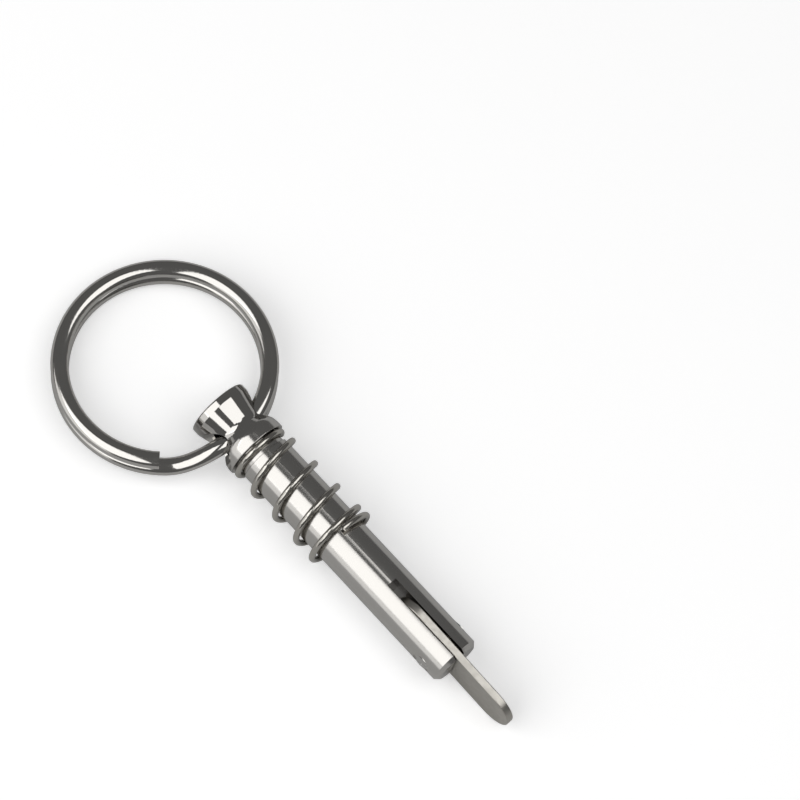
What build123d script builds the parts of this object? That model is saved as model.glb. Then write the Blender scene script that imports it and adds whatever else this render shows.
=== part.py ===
from build123d import *
import math
import os

# Quarter-inch drop-nose quick-release pin: a turned stainless pin body with a waisted head,
# a toggle plate on a rivet in the slotted nose, a loose spring round the shank and a split
# ring through the head. The pin lies on its side on flat ground. The origin is where the
# rivet's axis crosses the pin's axis; +X runs along the pin to the nose, +Z is up, and the
# slot stands upright in the XZ plane. Millimetres.

# ---- pin body, from the nose face back to the crown -------------------------------------
shank_d = 6.35  # quarter-inch stock
nose_chamfer = 0.5
rivet_setback = 2.8  # rivet axis behind the nose face
shank_length = 34.0  # nose face to the collar's lower edge, where the spring seats
groove_length = 1.4  # undercut below the collar that holds the spring's first coil
groove_depth = 0.22
collar_d = 7.94
collar_band = 1.45  # straight part of the collar
shoulder_run = 1.45  # collar down to the waist
shoulder_round = 1.5
waist_d = 6.1
waist_round = 1.0
neck_run = 3.05  # waist up to the rim
rim_d = 7.72
rim_width = 0.95
crown_round = 0.2
edge_break = 0.08

# ---- cross-hole for the split ring, just on the collar's side of the waist ----------------
eye_lead = 0.15
eye_play = 0.25  # room round the pair of wires, which are curved
eye_mouth_growth = 0.6  # the mouths open by this much in radius
eye_mouth_depth = 0.65  # below the waist's surface, where the mouths start to open

# ---- slot and toggle --------------------------------------------------------------------
slot_width = 1.3
slot_depth = 11.55
toggle_thickness = 0.95
toggle_width = 6.0
toggle_long_arm = 11.8
toggle_short_arm = 7.0
toggle_edge_round = 0.12
toggle_side_play = -0.03  # the plate lies towards one cheek of the slot
toggle_skew = 0.9  # degrees, the plate's lean across the slot within its play

# ---- rivet ------------------------------------------------------------------------------
rivet_d = 2.0
rivet_running_gap = 0.08
rivet_head_d = 2.36
rivet_head_seat = 2.72  # where the countersink under the peened head begins
rivet_head_base = 2.92
rivet_head_face = 3.03
rivet_dome_d = 1.84
rivet_dome_rise = 0.2
rivet_punch_d = 0.5
rivet_punch_offset = 0.18
rivet_punch_depth = 0.12

# ---- spring -----------------------------------------------------------------------------
spring_wire_d = 0.77
spring_seat_gap = 0.02
spring_shank_gap = 0.025  # under the shank, where the coils carry it
spring_turns = 5.255
spring_seat_pitch = 0.25  # first coil, flat against the collar
spring_open_pitch = 3.86
spring_free_pitch = -0.25  # last coil, which bends back against the one before
spring_open_turn = 0.69  # turns from the collar where the coils open
spring_open_ease = 0.24  # turns over which the pitch changes there
spring_close_turn = 4.39
spring_close_ease = 0.54
spring_growth = 0.42  # the loose end is wider than the first open coil, in radius
spring_aside = 0.1  # the loose end lies over to one side of the shank
spring_bite = 0.2  # the first coil closes into the groove
spring_bite_turns = 0.55  # turns until it lets go
spring_bite_ease_turns = 0.1
spring_lean = 0.155  # the open coils lean along the pin
spring_steps_per_turn = 12

# ---- split ring -------------------------------------------------------------------------
ring_mean_r = 12.22
ring_wire_width = 2.14  # across the ring's radius
ring_wire_height = 1.8  # the round wire is flattened a little as it is wound
ring_layer_gap = 0.05
ring_offset = 1.0  # the ring's centre lies to one side of the pin's axis
ring_eye_play = 0.12  # how far the wire sits towards the nose in the cross-hole
ring_free_end_angle = -45.0  # degrees round the ring from the cross-hole, end of the upper layer
ring_hidden_end_angle = 5.0  # end of the lower layer, inside the cross-hole
ring_joggle_from = 6.0  # degrees past the cross-hole where the wire starts to drop a layer
ring_joggle_to = 42.0
ring_joggle_steps = 9
ring_tilt_rounds = 8

# ---- derived sizes and stations along the pin ---------------------------------------------
shank_r = shank_d / 2
collar_r = collar_d / 2
groove_r = shank_r - groove_depth
ground = collar_r  # height of the pin's axis above the ground
nose_x = rivet_setback
slot_end_x = nose_x - slot_depth
collar_x = nose_x - shank_length
groove_x = collar_x + groove_length
shoulder_x = collar_x - collar_band
waist_x = shoulder_x - shoulder_run
rim_x = waist_x - neck_run
crown_x = rim_x - rim_width
eye_x = waist_x + eye_lead
near = edge_break / 8

layer_height = (ring_wire_height + ring_layer_gap) / 2  # a layer's middle above the ring's
eye_r = layer_height + ring_wire_height / 2 + eye_play
eye_mouth_from = waist_d / 2 - eye_mouth_depth
eye_mouth_to = collar_r + edge_break


def circles_at(part, x):
    """The circular edges that lie across the pin at station x."""
    return part.edges().filter_by(GeomType.CIRCLE).filter_by_position(Axis.X, x - near, x + near)


# ---- pin body: turned profile, then slot, cross-hole and rivet holes ----------------------
with BuildPart() as pin_body:
    with BuildSketch(Plane.XZ) as turned_profile:
        with BuildLine():
            Polyline(
                (crown_x, 0),
                (crown_x, rim_d / 2),
                (rim_x, rim_d / 2),
                (waist_x, waist_d / 2),
                (shoulder_x, collar_r),
                (collar_x, collar_r),
                (collar_x, groove_r),
                (groove_x, groove_r),
                (groove_x, shank_r),
                (nose_x, shank_r),
                (nose_x, 0),
                close=True,
            )
        make_face()
    revolve(axis=Axis.X)
    fillet(circles_at(pin_body, waist_x), waist_round)
    fillet(circles_at(pin_body, shoulder_x), shoulder_round)
    fillet(circles_at(pin_body, crown_x), crown_round)
    fillet(circles_at(pin_body, rim_x), edge_break)
    fillet(circles_at(pin_body, collar_x).sort_by(SortBy.RADIUS)[-1], edge_break)
    fillet(circles_at(pin_body, groove_x).sort_by(SortBy.RADIUS)[-1], edge_break)
    chamfer(circles_at(pin_body, nose_x), nose_chamfer)

    # cross-hole with flared mouths
    with BuildSketch(Plane.YZ.offset(eye_x)) as eye_profile:
        with BuildLine():
            Polyline(
                (0, 0),
                (0, eye_r),
                (eye_mouth_from, eye_r),
                (eye_mouth_to, eye_r + eye_mouth_growth),
                (eye_mouth_to, 0),
                close=True,
            )
        make_face()
        mirror(about=Plane.YZ)
    revolve(axis=Axis((eye_x, 0, 0), (0, 1, 0)), mode=Mode.SUBTRACT)

    # upright slot, open at the nose
    with BuildSketch(Plane.XZ) as slot_profile:
        with Locations((slot_end_x, 0)):
            Rectangle(2 * slot_depth, 2 * shank_d, align=(Align.MIN, Align.CENTER))
    extrude(amount=slot_width / 2, both=True, mode=Mode.SUBTRACT)

    # rivet holes through both cheeks, countersunk for the peened heads
    with BuildSketch(Plane.XY) as rivet_hole_profile:
        with BuildLine():
            Polyline(
                (0, 0),
                (rivet_d / 2, 0),
                (rivet_d / 2, rivet_head_seat),
                (rivet_head_d / 2, rivet_head_base),
                (rivet_head_d / 2, shank_d),
                (0, shank_d),
                close=True,
            )
        make_face()
        mirror(about=Plane.XZ)
    revolve(axis=Axis.Y, mode=Mode.SUBTRACT)

# ---- rivet: peened at both ends -------------------------------------------------------------
rivet_dome_sphere_r = ((rivet_dome_d / 2) ** 2 + rivet_dome_rise**2) / (2 * rivet_dome_rise)
with BuildPart() as rivet:
    with BuildSketch(Plane.XY) as rivet_profile:
        with BuildLine():
            dome = JernArc(
                start=(0, rivet_head_face + rivet_dome_rise),
                tangent=(1, 0),
                radius=rivet_dome_sphere_r,
                arc_size=-math.degrees(math.asin(rivet_dome_d / 2 / rivet_dome_sphere_r)),
            )
            Polyline(
                dome @ 1,
                (rivet_head_d / 2, rivet_head_face),
                (rivet_head_d / 2, rivet_head_base),
                (rivet_d / 2, rivet_head_seat),
                (rivet_d / 2, 0),
                (0, 0),
                (0, rivet_head_face + rivet_dome_rise),
            )
        make_face()
        mirror(about=Plane.XZ)
    revolve(axis=Axis.Y)
    for side in (-1, 1):
        punch_y = side * (rivet_head_face + rivet_dome_rise - rivet_punch_depth + rivet_punch_d / 2)
        with Locations((rivet_punch_offset, punch_y, rivet_punch_offset)):
            Sphere(rivet_punch_d / 2, mode=Mode.SUBTRACT)

# ---- toggle: a flat plate with round ends, drooping until its tip meets the ground ----------
toggle_end_r = toggle_width / 2
droop = math.degrees(math.asin((ground - toggle_end_r) / (toggle_long_arm - toggle_end_r)))
toggle_along = Vector(1, 0, 0).rotate(Axis.Z, toggle_skew).rotate(Axis.Y, droop)
toggle_across = Vector(0, 1, 0).rotate(Axis.Z, toggle_skew).rotate(Axis.Y, droop)
toggle_plane = Plane(
    origin=(0, toggle_side_play, 0), x_dir=toggle_along, z_dir=-toggle_across
)
with BuildPart() as toggle:
    with BuildSketch(toggle_plane) as toggle_outline:
        with Locations(((toggle_long_arm - toggle_short_arm) / 2, 0)):
            SlotOverall(toggle_long_arm + toggle_short_arm, toggle_width)
        Circle(rivet_d / 2 + rivet_running_gap, mode=Mode.SUBTRACT)
    extrude(amount=toggle_thickness / 2, both=True)
    rims = toggle.faces().filter_by(GeomType.PLANE).sort_by(SortBy.AREA)[-2:]
    rim_edges = ShapeList([edge for face in rims for edge in face.outer_wire().edges()])
    fillet(rim_edges, toggle_edge_round)

# ---- spring: closed at both ends, open between, growing towards its loose end ----------------


def eased(turns, ease):
    """A smooth corner: nothing before zero, rising one for one after it."""
    return (turns + math.hypot(turns, ease)) / 2


def coil_point(turns):
    """A point of the wire's centreline, so many turns from the collar."""
    share = turns / spring_turns
    angle = 2 * math.pi * turns
    bite = spring_bite * (1 - math.tanh((turns - spring_bite_turns) / spring_bite_ease_turns)) / 2
    radius = spring_open_r + spring_growth * share - bite
    rise = spring_growth * share
    travel = spring_seat_pitch * turns
    opening = eased(turns - spring_open_turn, spring_open_ease)
    closing = eased(turns - spring_close_turn, spring_close_ease)
    travel += (spring_open_pitch - spring_seat_pitch) * opening
    travel -= (spring_open_pitch - spring_free_pitch) * closing
    travel += spring_lean * math.tanh(turns) * math.cos(angle)
    start = collar_x + spring_wire_d / 2 + spring_seat_gap
    across = radius * math.cos(angle) - spring_aside * share
    return (start + travel, across, radius * math.sin(angle) + rise)


spring_open_r = shank_r + spring_shank_gap + spring_wire_d / 2
coil_count = round(spring_turns * spring_steps_per_turn)
coil_points = [coil_point(spring_turns * i / coil_count) for i in range(coil_count + 1)]
with BuildPart() as spring:
    with BuildLine() as coil:
        Spline(*coil_points)
    with BuildSketch(Plane(origin=coil.line @ 0, z_dir=coil.line % 0)) as wire_section:
        Circle(spring_wire_d / 2)
    sweep(path=coil.line, is_frenet=True)

# ---- split ring: two layers of one wire, joined by a joggle -----------------------------------
ring_reach = math.sqrt(ring_mean_r**2 - ring_offset**2) - ring_eye_play
ring_tilt = 0.0
for _ in range(ring_tilt_rounds):  # closes in on the tilt at which the far side lies on the ground
    wire_sag = math.hypot(
        ring_wire_width / 2 * math.sin(ring_tilt), ring_wire_height / 2 * math.cos(ring_tilt)
    )
    far_drop = ground - layer_height * math.cos(ring_tilt) - wire_sag
    ring_tilt = math.asin(far_drop / (ring_reach + ring_mean_r))
ring_back = Vector(math.cos(ring_tilt), 0, math.sin(ring_tilt))
ring_up = Vector(-math.sin(ring_tilt), 0, math.cos(ring_tilt))
ring_plane = Plane(
    origin=Vector(eye_x, -ring_offset, 0) - ring_back * ring_reach,
    x_dir=ring_back,
    z_dir=ring_up,
)
ring_axis = Axis(ring_plane.origin, -ring_up)


def wire_plane(angle, height):
    """The plane across the wire at an angle round the ring; its x runs outward, y upward."""
    turn = math.radians(angle)
    outward = (ring_plane.x_dir * math.cos(turn) + ring_plane.y_dir * math.sin(turn)).normalized()
    middle = ring_plane.origin + outward * ring_mean_r + ring_up * height
    return Plane(origin=middle, x_dir=outward, z_dir=outward.cross(ring_up))


def wire_section(angle, height):
    """One section of the wire, an oval a little wider than high."""
    with BuildSketch(wire_plane(angle, height)) as section:
        Ellipse(ring_wire_width / 2, ring_wire_height / 2)
    return section.sketch


# round the ring clockwise from above: upper layer, joggle, lower layer
upper_arc = 360 + ring_joggle_from + ring_free_end_angle
lower_arc = 360 - ring_joggle_to - ring_hidden_end_angle
joggle_shares = [step / ring_joggle_steps for step in range(ring_joggle_steps + 1)]
joggle_sections = [
    wire_section(
        -ring_joggle_from - (ring_joggle_to - ring_joggle_from) * share,
        layer_height * math.cos(math.pi * share),
    )
    for share in joggle_shares
]
free_end = wire_section(ring_free_end_angle, layer_height)
lower_start = wire_section(-ring_joggle_to, -layer_height)

with BuildPart() as split_ring:
    revolve(free_end, axis=ring_axis, revolution_arc=upper_arc)
    loft(joggle_sections)
    revolve(lower_start, axis=ring_axis, revolution_arc=lower_arc)

# ---- export ---------------------------------------------------------------------------------
pin_body.part.label = "pin_body"
rivet.part.label = "rivet"
toggle.part.label = "toggle"
spring.part.label = "spring"
split_ring.part.label = "split_ring"
os.makedirs("parts", exist_ok=True)
export_step(pin_body.part, "parts/pin_body.step")
export_step(rivet.part, "parts/rivet.step")
export_step(toggle.part, "parts/toggle.step")
export_step(spring.part, "parts/spring.step")
export_step(split_ring.part, "parts/split_ring.step")
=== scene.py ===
"""A quarter-inch drop-nose quick-release pin lying on a pale studio floor."""

import math

import bpy
from mathutils import Matrix, Quaternion, Vector


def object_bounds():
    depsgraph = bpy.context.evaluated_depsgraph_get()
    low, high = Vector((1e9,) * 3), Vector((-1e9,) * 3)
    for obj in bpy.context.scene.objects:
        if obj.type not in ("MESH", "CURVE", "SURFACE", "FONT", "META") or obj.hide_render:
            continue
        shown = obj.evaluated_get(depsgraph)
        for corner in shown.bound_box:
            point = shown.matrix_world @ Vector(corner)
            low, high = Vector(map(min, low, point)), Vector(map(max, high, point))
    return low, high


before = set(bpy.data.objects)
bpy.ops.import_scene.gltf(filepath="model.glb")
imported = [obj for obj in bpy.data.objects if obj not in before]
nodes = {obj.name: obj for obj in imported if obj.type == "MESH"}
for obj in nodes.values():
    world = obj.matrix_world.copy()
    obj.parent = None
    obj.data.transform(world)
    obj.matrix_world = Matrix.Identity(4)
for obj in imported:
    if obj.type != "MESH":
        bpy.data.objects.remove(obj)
cad_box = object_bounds()


# ---- The camera -------------------------------------------------------------------------
# It stands almost half a metre off and looks steeply down from the pin's near side, turned
# so that the pin runs from the upper left down to the lower right.
mm = 0.001
aim = Vector((-23.11, 13.66, 9.36)) * mm
stand_off = 450 * mm
heading = math.radians(-61.79)
height = math.radians(68.91)
turn = math.radians(20.0)
outward = Vector((
    math.cos(height) * math.cos(heading),
    math.cos(height) * math.sin(heading),
    math.sin(height),
))
camera = bpy.data.objects.new("camera", bpy.data.cameras.new("camera"))
bpy.context.collection.objects.link(camera)
camera.rotation_mode = "QUATERNION"
camera.rotation_quaternion = outward.to_track_quat("Z", "Y") @ Quaternion((0, 0, 1), turn)
camera.location = aim + outward * stand_off
camera.data.sensor_width = 36
camera.data.lens = 177.27
camera.data.clip_start = 0.01
bpy.context.scene.camera = camera

bpy.context.scene.view_settings.view_transform = "Standard"


# ---- Shader arithmetic --------------------------------------------------------------------
class Term:
    """A shader socket that takes part in ordinary arithmetic, adding the nodes it needs."""

    def __init__(self, tree, socket):
        self.tree = tree
        self.socket = socket

    def add_node(self, kind, inputs=(), output=0, **settings):
        """Makes any node, sets its properties, feeds its inputs and returns one output."""
        node = self.tree.nodes.new(kind)
        for name, value in settings.items():
            setattr(node, name, value)
        for name, value in dict(inputs).items():
            if isinstance(value, Term):
                self.tree.links.new(value.socket, node.inputs[name])
            else:
                node.inputs[name].default_value = value
        return Term(self.tree, node.outputs[output])

    def math(self, operation, other):
        return self.add_node("ShaderNodeMath", {0: self, 1: other}, operation=operation)

    def __add__(self, other):
        return self.math("ADD", other)

    def __sub__(self, other):
        return self.math("SUBTRACT", other)

    def __mul__(self, other):
        return self.math("MULTIPLY", other)

    def __rsub__(self, other):
        return self * -1.0 + other

    __radd__ = __add__
    __rmul__ = __mul__

    def ramp(self, low, high, start=0.0, end=1.0):
        """A smooth step from start to end as this value runs from low to high."""
        inputs = {"Value": self, "From Min": low, "From Max": high, "To Min": start, "To Max": end}
        return self.add_node("ShaderNodeMapRange", inputs, interpolation_type="SMOOTHSTEP")

    def noise(self, scale, detail=2.0):
        """Cloudy noise at these coordinates."""
        return self.add_node("ShaderNodeTexNoise", {"Vector": self, "Scale": scale, "Detail": detail})

    def bump(self, strength, distance):
        """The surface normal, disturbed by this height."""
        inputs = {"Height": self, "Strength": strength, "Distance": distance}
        return self.add_node("ShaderNodeBump", inputs)

    def grey(self):
        """This value as a colour."""
        return self.add_node("ShaderNodeCombineColor", {0: self, 1: self, 2: self})

    def into(self, shader, name):
        """Feeds the named input of a shader."""
        self.tree.links.new(self.socket, shader.inputs[name])


def new_material(name):
    """An empty material with its principled shader and the object's own coordinates."""
    material = bpy.data.materials.new(name)
    material.use_nodes = True
    tree = material.node_tree
    place = tree.nodes.new("ShaderNodeTexCoord").outputs["Object"]
    return material, tree.nodes["Principled BSDF"], Term(tree, place)


def steel(piece, name, colour):
    """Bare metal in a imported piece's own slot: its shader and the piece's coordinates."""
    material, shader, place = new_material(name)
    shader.inputs["Metallic"].default_value = 1.0
    shader.inputs["Base Color"].default_value = (*colour, 1)
    nodes[piece].material_slots[0].material = material
    return shader, place


# ---- The pin body -------------------------------------------------------------------------
# Turned stainless bar: the shank has a soft drawn polish with faint rings left by the lathe,
# the head and collar are buffed brighter.
shader, place = steel("pin_body", "pin_body_steel", (0.56, 0.545, 0.52))
x, y, z = (place.add_node("ShaderNodeSeparateXYZ", {0: place}, output=i) for i in range(3))
rings_per_metre = 9000
streaks_per_metre = 120
along = x * rings_per_metre
across = (y * streaks_per_metre, z * streaks_per_metre)
stretched = place.add_node("ShaderNodeCombineXYZ", {0: along, 1: across[0], 2: across[1]})
rings = stretched.noise(1.0, 3.0)
smudge = place.noise(350.0, 4.0)
head_roughness, shank_roughness = 0.07, 0.16
collar_start, collar_end = -33.5 * mm, -32.5 * mm
polished = x.ramp(collar_start, collar_end, head_roughness, shank_roughness)
(polished + (smudge - 0.5) * 0.08).into(shader, "Roughness")
rings.bump(0.03, 0.05 * mm).into(shader, "Normal")

# ---- The rivet ------------------------------------------------------------------------------
# Soft stainless, hammered over at both ends, so its faces are slightly uneven.
shader, place = steel("rivet", "rivet_steel", (0.56, 0.55, 0.53))
dents = place.noise(900.0)
dents.ramp(0.3, 0.7, 0.15, 0.28).into(shader, "Roughness")
dents.bump(0.2, 0.1 * mm).into(shader, "Normal")

# ---- The toggle -----------------------------------------------------------------------------
# Stamped plate, tumbled to a dull grey satin with a fine mottle.
shader, place = steel("toggle", "toggle_steel", (0.5, 0.48, 0.44))
mottle = place.noise(1500.0, 5.0)
mottle.ramp(0.3, 0.7, 0.3, 0.42).into(shader, "Roughness")
mottle.bump(0.15, 0.05 * mm).into(shader, "Normal")

# ---- The spring -----------------------------------------------------------------------------
# Hard-drawn round wire, bright along its crest.
shader, place = steel("spring", "spring_steel", (0.52, 0.5, 0.46))
place.noise(1200.0, 3.0).ramp(0.3, 0.7, 0.12, 0.2).into(shader, "Roughness")

# ---- The split ring -------------------------------------------------------------------------
# Oval wire wound twice round and barrel-polished almost to a mirror.
shader, place = steel("split_ring", "ring_steel", (0.57, 0.555, 0.53))
place.noise(500.0, 3.0).ramp(0.3, 0.7, 0.07, 0.13).into(shader, "Roughness")

# ---- The floor ------------------------------------------------------------------------------
# A pale sweep. It shows white to the camera and a little darker in the metal, and it takes
# the pin's soft shadow.
floor_width = 6
shade_in_metal, shade_to_camera = 0.6, 0.93
camera_lift = 0.35
ground = cad_box[0][2]
bpy.ops.mesh.primitive_plane_add(size=floor_width, location=(0, 0, ground))
floor = bpy.context.object
floor.name = "floor"
material, shader, place = new_material("floor_white")
seen = place.add_node("ShaderNodeLightPath")
shade = seen.ramp(0, 1, shade_in_metal, shade_to_camera) + (place.noise(40.0) - 0.5) * 0.01
shade.grey().into(shader, "Base Color")
shader.inputs["Roughness"].default_value = 1.0
shader.inputs["Specular IOR Level"].default_value = 0.0
shader.inputs["Emission Strength"].default_value = 1.0
(seen * camera_lift).grey().into(shader, "Emission Color")
floor.data.materials.append(material)


# ---- The lights -----------------------------------------------------------------------------
# A tall softbox each side of the camera and a weaker wing beyond the left one, in a dim grey
# room.
lamp_distance = 0.6


def softbox(name, sideways, upward, width, tall, power):
    """An area lamp seen from the pin at these angles from the camera, facing the pin."""
    side = camera.rotation_quaternion @ Vector((1, 0, 0))
    up = camera.rotation_quaternion @ Vector((0, 1, 0))
    a, b = math.radians(sideways), math.radians(upward)
    way = outward * math.cos(a) * math.cos(b) + side * math.sin(a) * math.cos(b) + up * math.sin(b)
    lamp = bpy.data.lights.new(name, "AREA")
    lamp.shape = "RECTANGLE"
    lamp.size, lamp.size_y, lamp.energy = width, tall, power
    holder = bpy.data.objects.new(name, lamp)
    bpy.context.collection.objects.link(holder)
    back = way.normalized()
    right = (side - back * side.dot(back)).normalized()
    axes = Matrix((right, back.cross(right), back)).transposed()
    holder.matrix_world = Matrix.Translation(aim + way * lamp_distance) @ axes.to_4x4()


softbox("left_box", sideways=-29, upward=-2, width=0.46, tall=0.74, power=1.75)
softbox("left_wing", sideways=-67, upward=-8, width=0.42, tall=0.8, power=1.0)
softbox("right_box", sideways=31, upward=10, width=0.5, tall=0.5, power=1.25)

room_level, backdrop_level = 0.13, 1.0
world = bpy.data.worlds.new("room")
bpy.context.scene.world = world
world.use_nodes = True
tree = world.node_tree
sky = Term(tree, tree.nodes.new("ShaderNodeTexCoord").outputs["Generated"])
seen = sky.add_node("ShaderNodeLightPath")
seen.ramp(0, 1, room_level, backdrop_level).grey().into(tree.nodes["Background"], "Color")

# ---- The scene brought up to date, then the end -----------------------------------------------
bpy.context.view_layer.update()
